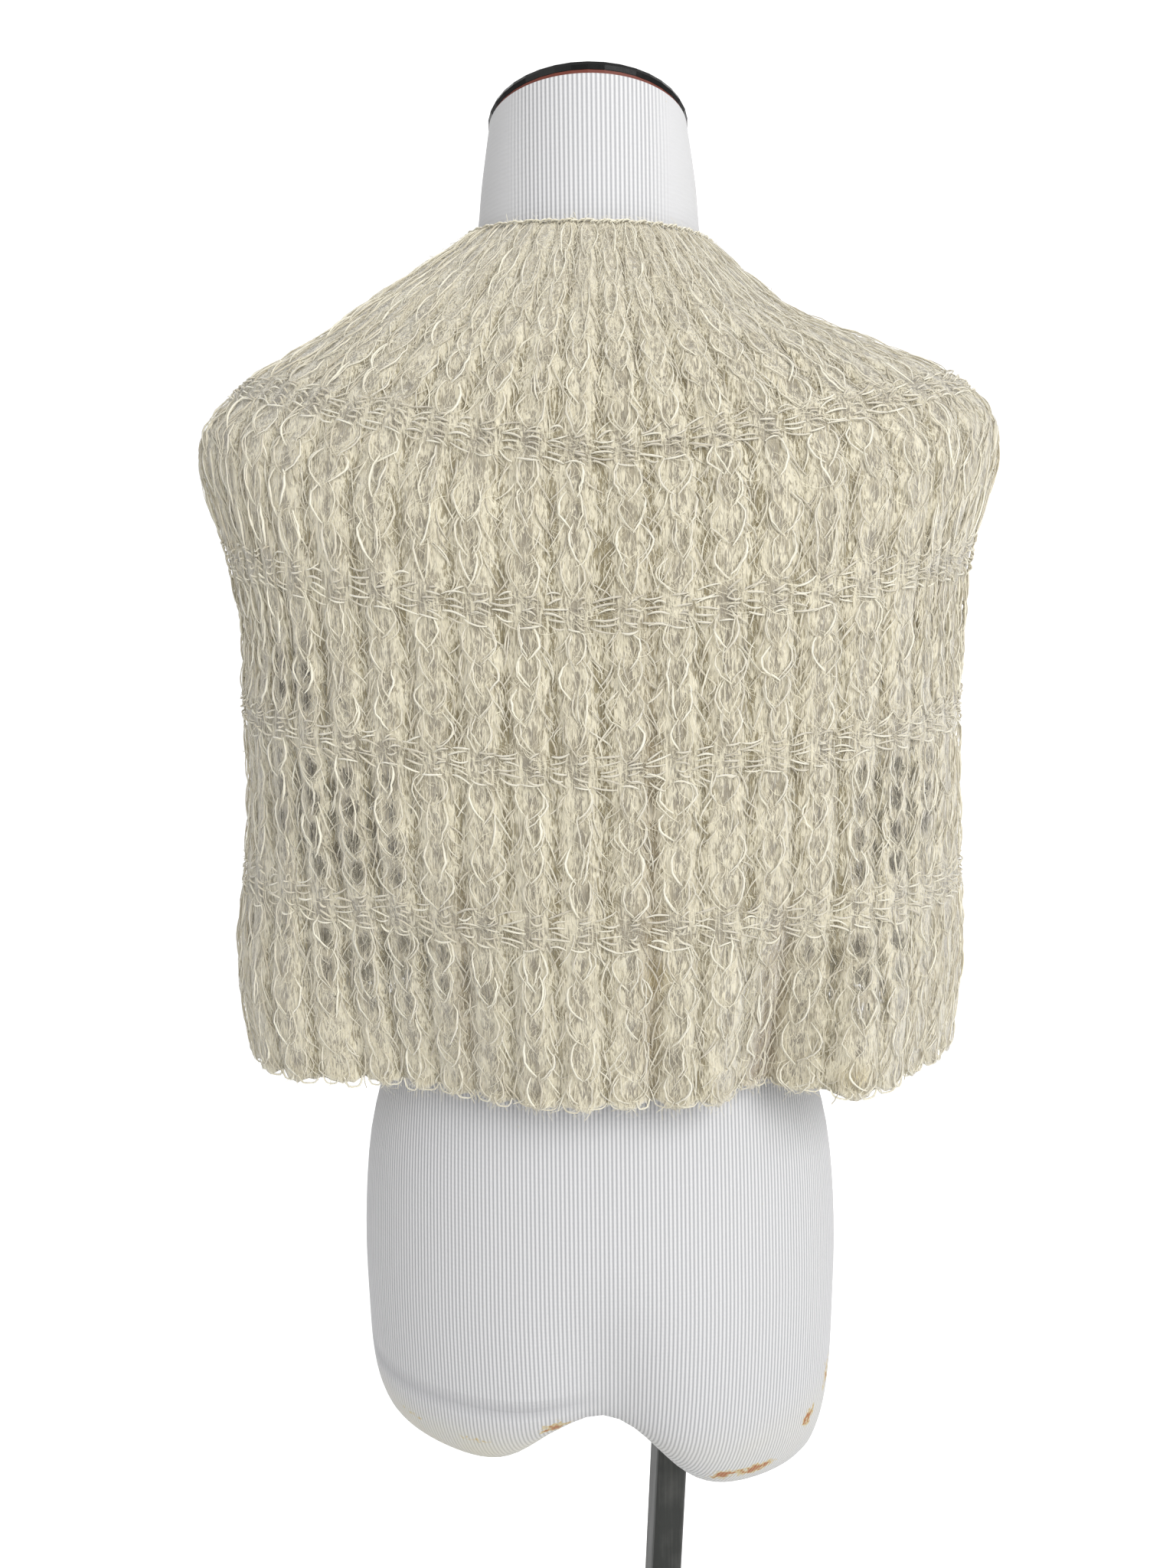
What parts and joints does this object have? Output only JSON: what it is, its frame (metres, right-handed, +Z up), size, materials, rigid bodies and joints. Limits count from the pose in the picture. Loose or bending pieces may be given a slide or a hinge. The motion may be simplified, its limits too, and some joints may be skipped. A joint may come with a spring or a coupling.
{
  "type": "knitted jerkin on a limbless dress form with stand",
  "caption": "Loose cropped sleeveless hand-knit jerkin with raised ribs and tight bands, worn on a limbless dress form on a pole and a round plate.",
  "frame": {"origin": "on the floor, under the middle of the whole thing's box", "axes": "+Z up, the jerkin's front faces -Y and its back faces +Y, the wearer's left is +X"},
  "size_m": [0.456, 0.3, 1.1429],
  "materials": {
    "knit": "airy hand-knit mohair blend, cream and beige, fuzzy and matte",
    "jersey": "white fine-ribbed jersey cover with worn patches at the lower edge",
    "brown_board": "reddish brown board edge",
    "black_lacquer": "glossy black lacquer",
    "stand_steel": "dark grey satin paint",
    "stand_iron": "dark grey satin paint on a heavy plate"
  },
  "bodies": {
    "root": {"back_panel": "knit", "front_panel": "knit", "form_torso": "jersey", "neck_strip": "brown_board", "neck_cap": "black_lacquer", "pole": "stand_steel", "base_plate": "stand_iron"}
  },
  "joints": []
}
